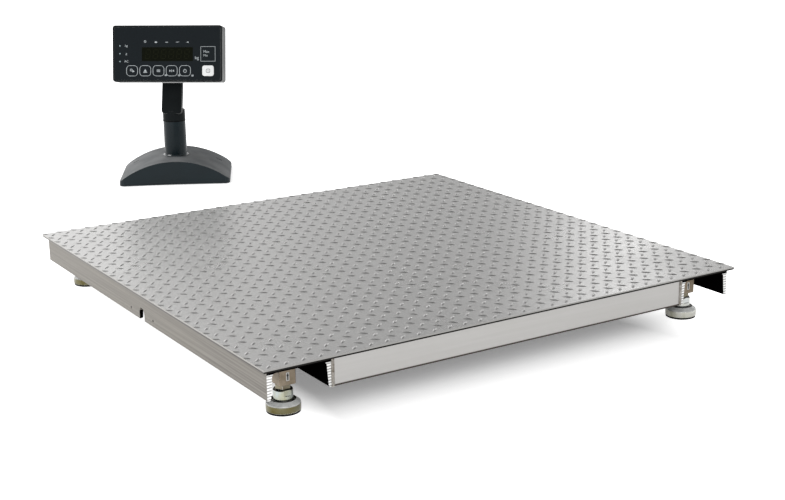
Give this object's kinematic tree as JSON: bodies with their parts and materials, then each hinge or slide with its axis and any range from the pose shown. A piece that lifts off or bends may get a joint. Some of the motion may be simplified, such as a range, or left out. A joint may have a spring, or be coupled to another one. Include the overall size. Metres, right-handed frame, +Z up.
{
  "type": "platform scale",
  "caption": "Square floor platform scale with a tread plate deck on a low steel frame, load cells on levelling feet, and a tilting weight indicator on its own stand.",
  "frame": {"origin": "the middle of the deck's load surface", "axes": "+Z up, out of the load surface; +Y from the front edge, which the indicator's user sees first, to the rear edge; +X to the right. The indicator stands behind the rear edge."},
  "size_m": [1, 1.9411, 0.421],
  "materials": {
    "deck_steel": "hot-rolled tread plate, zinc grey, satin",
    "frame_steel": "rolled channel, brushed and zinc coated",
    "cell_steel": "nickel plated alloy steel, satin",
    "foot_steel": "turned steel, zinc plated, slightly yellow",
    "bolt_steel": "zinc plated fasteners",
    "black_rubber": "moulded rubber, matte",
    "lead_jacket": "extruded cable jacket",
    "clip_plastic": "moulded cable clips",
    "junction_plastic": "moulded box, fine texture",
    "circuit_board": "circuit board with its parts",
    "gland_plastic": "moulded cable glands",
    "screw_steel": "small plated screws",
    "stand_plastic": "black moulded plastic, fine texture",
    "head_plastic": "black moulded plastic, fine texture",
    "panel_film": "printed membrane film",
    "window_tint": "tinted display window",
    "battery_case": "sealed battery case",
    "lamp_lens": "small lamp lenses, unlit",
    "key_film": "domed key under the film",
    "power_film": "pale key under the film"
  },
  "bodies": {
    "frame": {"deck_plate": "deck_steel", "side_channel_left": "frame_steel", "side_channel_right": "frame_steel", "front_beam": "frame_steel", "rear_beam": "frame_steel", "front_joist": "frame_steel", "middle_joist": "frame_steel", "rear_joist": "frame_steel", "cell_spacers": "frame_steel", "cell_bolts": "bolt_steel", "lock_nuts": "bolt_steel", "lead_clips": "clip_plastic", "junction_box": "junction_plastic", "junction_lid": "junction_plastic", "junction_board": "circuit_board", "junction_glands": "gland_plastic", "junction_screws": "screw_steel", "load_cell_front_left": "cell_steel", "load_cell_front_right": "cell_steel", "load_cell_rear_left": "cell_steel", "load_cell_rear_right": "cell_steel", "cell_lead_front_left": "lead_jacket", "cell_lead_front_right": "lead_jacket", "cell_lead_rear_left": "lead_jacket", "cell_lead_rear_right": "lead_jacket"},
    "seal_front_left": {"foot_seal_front_left": "foot_steel"},
    "stud_front_left": {"foot_stud_front_left": "foot_steel"},
    "pad_front_left": {"foot_cup_front_left": "foot_steel", "foot_sole_front_left": "black_rubber"},
    "seal_front_right": {"foot_seal_front_right": "foot_steel"},
    "stud_front_right": {"foot_stud_front_right": "foot_steel"},
    "pad_front_right": {"foot_cup_front_right": "foot_steel", "foot_sole_front_right": "black_rubber"},
    "seal_rear_left": {"foot_seal_rear_left": "foot_steel"},
    "stud_rear_left": {"foot_stud_rear_left": "foot_steel"},
    "pad_rear_left": {"foot_cup_rear_left": "foot_steel", "foot_sole_rear_left": "black_rubber"},
    "seal_rear_right": {"foot_seal_rear_right": "foot_steel"},
    "stud_rear_right": {"foot_stud_rear_right": "foot_steel"},
    "pad_rear_right": {"foot_cup_rear_right": "foot_steel", "foot_sole_rear_right": "black_rubber"},
    "stand": {"stand_base": "stand_plastic", "stand_feet": "black_rubber", "stand_tube": "stand_plastic"},
    "neck": {"neck_arm": "stand_plastic"},
    "head": {"head_shell": "head_plastic", "head_cover": "head_plastic", "keypad_panel": "panel_film", "display_window": "window_tint", "display_board": "circuit_board", "battery": "battery_case", "status_lamps": "lamp_lens", "head_sockets": "gland_plastic", "head_screws": "screw_steel"},
    "key_1": {"key_1": "key_film"},
    "key_2": {"key_2": "key_film"},
    "key_3": {"key_3": "key_film"},
    "key_4": {"key_4": "key_film"},
    "key_5": {"key_5": "key_film"},
    "power_key": {"power_key": "power_film"}
  },
  "joints": [
    {"name": "foot_height_front_left", "type": "slide", "parent": "frame", "child": "seal_front_left", "axis": [0, 0, -1], "range_m": [0, 0.012]},
    {"name": "foot_turn_front_left", "type": "hinge", "parent": "seal_front_left", "child": "stud_front_left", "pos_m": [-0.4325, -0.432, -0.0883], "axis": [0, 0, -1], "range_deg": [0, 2881]},
    {"name": "foot_tilt_front_left", "type": "hinge", "parent": "seal_front_left", "child": "pad_front_left", "pos_m": [-0.4325, -0.432, -0.0883], "axis": [1, 0, 0], "range_deg": [-5, 5]},
    {"name": "foot_height_front_right", "type": "slide", "parent": "frame", "child": "seal_front_right", "axis": [0, 0, -1], "range_m": [0, 0.012]},
    {"name": "foot_turn_front_right", "type": "hinge", "parent": "seal_front_right", "child": "stud_front_right", "pos_m": [0.4325, -0.432, -0.0883], "axis": [0, 0, -1], "range_deg": [0, 2881]},
    {"name": "foot_tilt_front_right", "type": "hinge", "parent": "seal_front_right", "child": "pad_front_right", "pos_m": [0.4325, -0.432, -0.0883], "axis": [1, 0, 0], "range_deg": [-5, 5]},
    {"name": "foot_height_rear_left", "type": "slide", "parent": "frame", "child": "seal_rear_left", "axis": [0, 0, -1], "range_m": [0, 0.012]},
    {"name": "foot_turn_rear_left", "type": "hinge", "parent": "seal_rear_left", "child": "stud_rear_left", "pos_m": [-0.4325, 0.432, -0.0883], "axis": [0, 0, -1], "range_deg": [0, 2881]},
    {"name": "foot_tilt_rear_left", "type": "hinge", "parent": "seal_rear_left", "child": "pad_rear_left", "pos_m": [-0.4325, 0.432, -0.0883], "axis": [1, 0, 0], "range_deg": [-5, 5]},
    {"name": "foot_height_rear_right", "type": "slide", "parent": "frame", "child": "seal_rear_right", "axis": [0, 0, -1], "range_m": [0, 0.012]},
    {"name": "foot_turn_rear_right", "type": "hinge", "parent": "seal_rear_right", "child": "stud_rear_right", "pos_m": [0.4325, 0.432, -0.0883], "axis": [0, 0, -1], "range_deg": [0, 2881]},
    {"name": "foot_tilt_rear_right", "type": "hinge", "parent": "seal_rear_right", "child": "pad_rear_right", "pos_m": [0.4325, 0.432, -0.0883], "axis": [1, 0, 0], "range_deg": [-5, 5]},
    {"name": "indicator_lift", "type": "slide", "parent": "frame", "child": "stand", "axis": [0, 0, 1], "range_m": [0, 0.25]},
    {"name": "neck_swivel", "type": "hinge", "parent": "stand", "child": "neck", "pos_m": [0.152, 1.276, 0.05705], "axis": [0, 0, 1], "range_deg": [-170, 170]},
    {"name": "head_tilt", "type": "hinge", "parent": "neck", "child": "head", "pos_m": [0.16554, 1.29397, 0.1998], "axis": [0.7986, -0.6018, 0], "range_deg": [-45, 3]},
    {"name": "key_1_press", "type": "slide", "parent": "head", "child": "key_1", "axis": [0.5887, 0.7812, -0.2079], "range_m": [0, 0.0006], "stiffness_N_per_m": 600, "springref_m": -0.0015},
    {"name": "key_2_press", "type": "slide", "parent": "head", "child": "key_2", "axis": [0.5887, 0.7812, -0.2079], "range_m": [0, 0.0006], "stiffness_N_per_m": 600, "springref_m": -0.0015},
    {"name": "key_3_press", "type": "slide", "parent": "head", "child": "key_3", "axis": [0.5887, 0.7812, -0.2079], "range_m": [0, 0.0006], "stiffness_N_per_m": 600, "springref_m": -0.0015},
    {"name": "key_4_press", "type": "slide", "parent": "head", "child": "key_4", "axis": [0.5887, 0.7812, -0.2079], "range_m": [0, 0.0006], "stiffness_N_per_m": 600, "springref_m": -0.0015},
    {"name": "key_5_press", "type": "slide", "parent": "head", "child": "key_5", "axis": [0.5887, 0.7812, -0.2079], "range_m": [0, 0.0006], "stiffness_N_per_m": 600, "springref_m": -0.0015},
    {"name": "power_key_press", "type": "slide", "parent": "head", "child": "power_key", "axis": [0.5887, 0.7812, -0.2079], "range_m": [0, 0.0006], "stiffness_N_per_m": 600, "springref_m": -0.0015}
  ],
  "couplings": [
    {"joint": "foot_turn_front_left", "follows": "foot_height_front_left", "rad_per_m": 4188.8},
    {"joint": "foot_turn_front_right", "follows": "foot_height_front_right", "rad_per_m": 4188.8},
    {"joint": "foot_turn_rear_left", "follows": "foot_height_rear_left", "rad_per_m": 4188.8},
    {"joint": "foot_turn_rear_right", "follows": "foot_height_rear_right", "rad_per_m": 4188.8}
  ]
}
